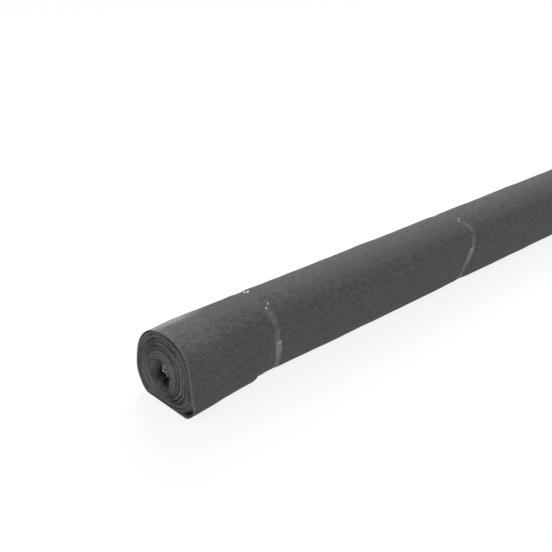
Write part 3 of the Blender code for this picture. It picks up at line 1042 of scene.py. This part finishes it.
def under_tapes(angle, distance):
    """How far inside a tape's edge the cloth lies, negative outside, and how grey the film makes it.

    The tape's way is longer than one turn, so a place can lie under its first turn and its end.
    """
    inside = np.full(np.broadcast_shapes(angle.shape, distance.shape), FAR_OUTSIDE)
    grey = np.zeros(inside.shape)
    start, end = TAPE_CURVE[[0, -1], 0]
    for _, _, at, turned, side in TAPES:
        first = start + (angle - math.radians(turned) - start) % (2 * math.pi)
        for way in (first, first + 2 * math.pi):
            here = TAPE_WIDTH / 2 - np.abs(distance - at - side * tape_shift(way))
            here = np.where(way <= end, here, FAR_OUTSIDE)
            film_grey = read_table(TAPE_GREY, np.degrees(way))
            grey = np.where(here > -TAPE_WIDTH / 2, np.maximum(grey, film_grey), grey)
            inside = np.maximum(inside, here)
    return inside, grey


print(f"tapes: {TAPE_WIDTH / MM:.0f} mm wide, at {TAPE_PLACES} m")

# %% [markdown]
# ## The outermost turn
#
# The outermost turn is real cloth: a fine sheet that lies on the wound turns, hangs loose off them
# at the near end's lower corner, and ends in a free edge low on the back, where it laps over
# itself. It could be simulated, but the tapes hold it nearly everywhere, so its place is known: the
# roll's outline plus the relief, a little less where it lies under its own free edge. The Solidify
# modifier then gives the sheet its thickness. The two turns under it show in the loosened corner
# alone, so only that part of them is made, with the same function.
#
# Where light shines through a single layer it is painted pale: painted light over the crown at the
# loosened end, and a painted highlight in a fine line along the cut edges.

# %% Outermost turn
OVERLAP_TURNS = 0.055
SETTLE_TURNS = 0.05
SHEET_COLUMNS = 205
ROWS_ALONG = (
    # distance where the stretch begins, rows in it
    (0.000, 60), (0.175, 42), (0.577, 15), (0.623, 42), (1.021, 15), (1.067, 14),
)
RESTING = (-90, 65)
LIP_RUN = 22 * MM
LIP_WAVE = 0.5 * MM
LIP_EDGE_WAVE = 0.15 * MM
BACKLIGHT_PLACES = (
    # direction in degrees, how much painted light shines through the sheet there
    (25, 0.00), (50, 0.05), (83, 0.04), (89, 0.10), (95, 0.32), (101, 0.38), (108, 0.22), (122, 0.00),
)
BACKLIGHT_RUN = 90 * MM
BACKLIGHT_HOLDS = 0.4
CUT_HIGHLIGHT = (
    # direction in degrees, how strong the painted highlight on the cut edge of the loosened end is
    (70, 0.16), (105, 0.50), (170, 0.50), (215, 0.16),
)
# The far end's cut edge gets the same painted highlight all round.
FAR_CUT_HIGHLIGHT = 0.16
CUT_HIGHLIGHT_RUN = 1.0 * MM
CORNER_TURNS = (0.56, 0.86)
CORNER_RUN = 130 * MM
CORNER_COLUMNS = 80
CORNER_ROWS = 50
CORNER_SHEETS = (
    # name, how far in it begins, layers over it
    ("second_turn", 0.4 * MM, 1.4),
    ("third_turn", 1.2 * MM, 3.2),
)


def sheet_angle(turns):
    """The angle at a number of turns from the spiral's start, on the same uneven steps as the winding."""
    whole = np.floor(turns)
    part = np.interp(turns - whole, np.linspace(0, 1, COLUMNS + 1), np.append(AROUND, 1.0))
    return SPIRAL_START - 2 * math.pi * (whole + part)


def sheet_reach(angle, distance, layers_over=0.0):
    """How far out the sheet's middle lies: outline and relief, less half of it and the layers over it."""
    over = layers_over * (SHEET_THICKNESS + SHEET_CLEARANCE) + SHEET_THICKNESS / 2
    pressed_flat = bell(angle, *RESTING)
    return cloth_reach(angle, distance) + (1 - pressed_flat) * relief(angle, distance) - over


def painted_light_at(angle, distance):
    """How much light is painted on the sheet: by direction, fading along the roll, plus painted highlights
    on the cut edges.
    """
    direction = np.degrees(angle)
    faded = smooth((distance - BACKLIGHT_HOLDS * BACKLIGHT_RUN) / ((1 - BACKLIGHT_HOLDS) * BACKLIGHT_RUN))
    # A painted highlight along the cut edges, strongest round the crown at the near end.
    cut = np.where(distance < LENGTH / 2, read_table(CUT_HIGHLIGHT, direction, period=360), FAR_CUT_HIGHLIGHT)
    return read_table(BACKLIGHT_PLACES, direction) * (1 - faded) + cut * np.exp(-from_end(distance) / CUT_HIGHLIGHT_RUN)


def lay_sheet(name, turns, distance, layers_over):
    """A sheet round the roll as a grid of distance by turns, with a wavy lip at both ends of the roll."""
    angle = sheet_angle(turns)
    lip = 1 - smooth(from_end(distance) / LIP_RUN)
    inwards = np.where(distance < LENGTH / 2, 1.0, -1.0)
    edge_wave = 1 + unevenness(turns % 1.0, seed=5, knots_per_unit=9)
    lip_wave = unevenness(turns % 1.0, seed=6, knots_per_unit=7)
    reach = sheet_reach(angle, distance, layers_over) + LIP_WAVE * lip * lip_wave
    lowest = SHEET_THICKNESS / 2 + layers_over * (SHEET_THICKNESS + SHEET_CLEARANCE)
    points = at_place(reach, angle, distance + LIP_EDGE_WAVE * edge_wave * lip * inwards, lowest)
    uv = side_by_side(distance, way_round(angle))
    piece = new_sheet(name, points, cloth, uv, SHEET_THICKNESS)
    inside, grey = under_tapes(angle, distance)
    # Painted light, read by the material: light through the lifted layer and highlights on the cut edges.
    add_values(piece, "painted_light", painted_light_at(angle, distance))
    add_values(piece, "inside_tape", inside)
    add_values(piece, "tape_grey", grey)
    flat = (float(np.ptp(distance)), float(np.ptp(way_round(angle))))
    return flat


all_round = np.linspace(0, 1 + OVERLAP_TURNS, SHEET_COLUMNS)[None, :]
row_starts = [start for start, _ in ROWS_ALONG] + [LENGTH]
all_along = [np.linspace(start, end, rows, endpoint=False)
             for start, end, (_, rows) in zip(row_starts, row_starts[1:], ROWS_ALONG)]
all_along = np.concatenate([*all_along, [LENGTH]])[:, None]
hidden = 1 - smooth((all_round - OVERLAP_TURNS) / SETTLE_TURNS)
outer_size = lay_sheet("outermost_turn", all_round, all_along, hidden)
print(f"outermost turn: a sheet of {outer_size[0]:.2f} by {outer_size[1]:.3f} m")

corner_turns = np.linspace(*CORNER_TURNS, CORNER_COLUMNS)[None, :]
corner_along = np.linspace(0, CORNER_RUN, CORNER_ROWS)[:, None]
for name, set_in, layers in CORNER_SHEETS:
    size = lay_sheet(name, corner_turns, corner_along + set_in, layers)
    print(f"{name}: a sheet of {size[0]:.2f} by {size[1]:.3f} m")

# %% [markdown]
# ## The inner end
#
# The cloth began at a rod that was drawn out afterwards, and its first bit has come loose. It lines
# the hollow's upper wall, comes forward to the mouth, and there falls over and crumples up. It is
# one small sheet: a profile from deep inside to the ragged edge, carried along the wall, with
# sharp little folds that grow towards the edge. Where a fold catches the light it is painted pale:
# painted highlights.

# %% Inner end
INNER_PROFILE = (
    # share of the flap's width that it hangs off the wall, depth behind the end in mm
    (0.04, 40.0), (0.06, 26.0), (0.04, 12.0), (0.00, 4.0), (-0.12, 0.5),
    (0.10, 0.4), (0.38, 3.6), (0.72, 3.0), (1.00, 0.8), (0.94, 5.5),
)
INNER_FROM = math.radians(82)
INNER_TO = 0.0
INNER_FLAP = (
    # direction in degrees, how far the flap hangs off the wall in mm
    (0, 2.5), (12, 6.8), (27, 10.8), (41, 13.2), (55, 13.4), (62, 11.2), (69, 7.2), (76, 3.2), (82, 0.6),
)
FLAP_UNEVEN = 0.12
INNER_ROWS = 130
INNER_STEPS = 10
INNER_THICKNESS = 0.4 * MM
INNER_CLEARANCE = 0.7 * MM
CRUMPLE = 1.9 * MM
CRUMPLE_SIZE = 4.6 * MM
CRUMPLE_FROM = 20 * MM
CRUMPLE_OFF_WALL = 0.7
MAIN_FOLD_SHARE = 0.6
FOLDS = (
    # folds for each step along the wall, folds for each step of the profile, start, seed
    (1.0, 0.7, 0, 42),
    (1.0, -0.9, 30, 43),
    (1.7, 0.8, 60, 44),
    (1.3, 0.0, 9, 45),
)
# Pale bands along the profile where the folds catch the light: painted highlights.
FOLD_HIGHLIGHTS = (
    # place along the profile, half width, how pale
    (4.4, 0.5, 0.80),
    (7.8, 0.4, 0.85),
)
PALE_LEAST = 0.5
PALE_LEVEL = 0.9


def fold(places, seed):
    """Sharp folds about -1 to 1: the crests of a wander, folded up where it crosses zero."""
    return 1 - 2 * np.abs(unevenness(places, seed, 1.0, octaves=2))


def inner_end():
    """The crumpled sheet: the profile carried along the wall, and folded in crossing directions.

    One fold moves it off the wall, two move it in depth, and the last one tells how strong the painted
    highlights are.
    """
    profile = open_curve(np.array(INNER_PROFILE) * [1.0, MM], INNER_STEPS)
    angle = np.linspace(INNER_FROM, INNER_TO, INNER_ROWS)[:, None]
    along = np.linspace(0, 1, INNER_ROWS)[:, None]
    wall = read_reach(HOLLOW, angle)
    flap = MM * read_table(INNER_FLAP, np.degrees(angle))
    flap = flap * (1 + FLAP_UNEVEN * unevenness(along, seed=41, knots_per_unit=7))
    off_wall = flap * profile[:, 0]
    depth = np.broadcast_to(profile[:, 1], off_wall.shape)
    step_along = angle * wall / CRUMPLE_SIZE
    step_across = np.arange(len(profile))[None, :] / INNER_STEPS
    loose = smooth((CRUMPLE_FROM - depth) / CRUMPLE_FROM)
    sideways, main, small, glint = (fold(by_wall * step_along + by_profile * step_across + start, seed)
                                    for by_wall, by_profile, start, seed in FOLDS)
    off_wall = off_wall + CRUMPLE_OFF_WALL * CRUMPLE * loose * sideways
    depth = depth + CRUMPLE * loose * (1 + MAIN_FOLD_SHARE * main + (1 - MAIN_FOLD_SHARE) * small)
    pale = sum(height * np.exp(-((step_across - middle) / half_width) ** 2)
               for middle, half_width, height in FOLD_HIGHLIGHTS)
    pale = pale * (PALE_LEAST + (1 - PALE_LEAST) * smooth(PALE_LEVEL + glint))
    points = at_place(wall - INNER_CLEARANCE - off_wall, angle, depth)
    across = np.linalg.norm(np.diff(profile * [flap.mean(), 1.0], axis=0), axis=1).sum()
    length = float(np.abs(INNER_TO - INNER_FROM) * wall.mean())
    uv = side_by_side(along * length, np.linspace(0, across, len(profile)))
    piece = new_sheet("inner_end", points, inner_cloth, uv, INNER_THICKNESS)
    # The pale folds go to the material as painted light.
    add_values(piece, "painted_light", pale)
    return length, across


inner_length, inner_width = inner_end()
print(f"inner end: a sheet of {inner_length:.3f} by {inner_width:.3f} m")

# %% [markdown]
# ## The tapes
#
# Each tape is clear polypropylene film, wound a little more than once round the roll and stuck on
# itself. It is modelled as the film that it is: a strip carried round the roll on the cloth's own
# surface, rising by one layer on the way. Stuck down, it is clear. Where a wrinkle lifts it off the
# cloth, it is made white and opaque: painted glints, where lifted film catches the light. An
# attribute, "holds_back", tells the material how much of the light each place holds back.

# %% Clear film material
# Its white shows where the film is made opaque on the wrinkles: painted glints.
film, film_tree, film_shader = new_material("clear_polypropylene_film", Base_Color=linear("#F6F8F9"),
                                            Roughness=0.22, IOR=1.49, Specular_IOR_Level=0.8)
holds_back = add_node(film_tree, "Attribute", attribute_name="holds_back")
film_tree.links.new(holds_back, film_shader.inputs["Alpha"])
print("clear film: clear where it is stuck down, white where it is lifted")

# %% Tapes
TAPE_THICKNESS = 0.1 * MM
TAPE_STANDS_OFF = 0.35 * MM
TAPE_LOWEST = 0.05 * MM
TAPE_LAYER = 0.25 * MM
TAPE_RISE_FROM = 0.35
TAPE_RISE_RUN = 0.4
TAPE_COLUMNS = 420
TAPE_ROWS = 7
TAPE_RADIUS = 0.06
FRAY = 0.8 * MM
FRAYED_FROM = 0.999
WRINKLE_SLANT = math.degrees(0.12)
TAPE_WRINKLES = (
    # direction in degrees, half width in degrees, height in mm, place across, share of the width, held back
    (99.0, 2.6, 0.50, -0.30, 0.55, 0.40),
    (93.5, 2.6, 0.50, 0.20, 0.60, 0.50),
    (56.4, 1.6, 0.40, 0.45, 0.25, 0.45),
    (57.2, 1.6, 0.40, -0.47, 0.25, 0.65),
    (24.0, 2.2, 0.20, 0.15, 0.25, 0.07),
    (10.5, 2.2, 0.20, 0.10, 0.35, 0.16),
    (150.0, 3.0, 0.40, 0.00, 0.80, 0.40),
    (205.0, 2.0, 0.30, 0.20, 0.40, 0.40),
)


def wind_tape(name, solid, at, turned, side):
    """A strip round the roll: its middle follows the way, and it rises by one layer to its end.

    Wrinkles lift it, each a bell round the roll and a fading share of its width. Its cut end is frayed.
    """
    angle = np.linspace(*TAPE_CURVE[[0, -1], 0], TAPE_COLUMNS)[None, :]
    across = np.linspace(-0.5, 0.5, TAPE_ROWS)[:, None]
    share = (angle - angle.min()) / np.ptp(angle)
    frayed = FRAY * unevenness(across, seed=31, knots_per_unit=4) * (share > FRAYED_FROM)
    place = at + side * tape_shift(angle) + across * TAPE_WIDTH + frayed
    here = angle + math.radians(turned)
    lift = TAPE_STANDS_OFF + TAPE_LAYER * smooth((share - TAPE_RISE_FROM) / TAPE_RISE_RUN)
    held_back = np.zeros(place.shape)
    for direction, spread, height, middle, width, density in TAPE_WRINKLES:
        wrinkle = bell(angle, direction + WRINKLE_SLANT * across, spread)
        wrinkle = wrinkle * (1 - smooth(np.abs(across - middle) / width))
        lift = lift + height * MM * wrinkle
        # Opaque white film on the wrinkles: painted glints.
        held_back = np.maximum(held_back, density * wrinkle)
    under = sheet_reach(here, place) + SHEET_THICKNESS / 2
    points = at_place(under + lift, here, place, TAPE_LOWEST + TAPE_LAYER * (1 - share))
    uv = side_by_side(angle * TAPE_RADIUS, across * TAPE_WIDTH)
    piece = new_sheet(name, points, film, uv, TAPE_THICKNESS)
    add_values(piece, "holds_back", held_back)
    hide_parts(solid)


for tape in TAPES:
    wind_tape(*tape)
print(f"tapes: {len(TAPES)} strips")
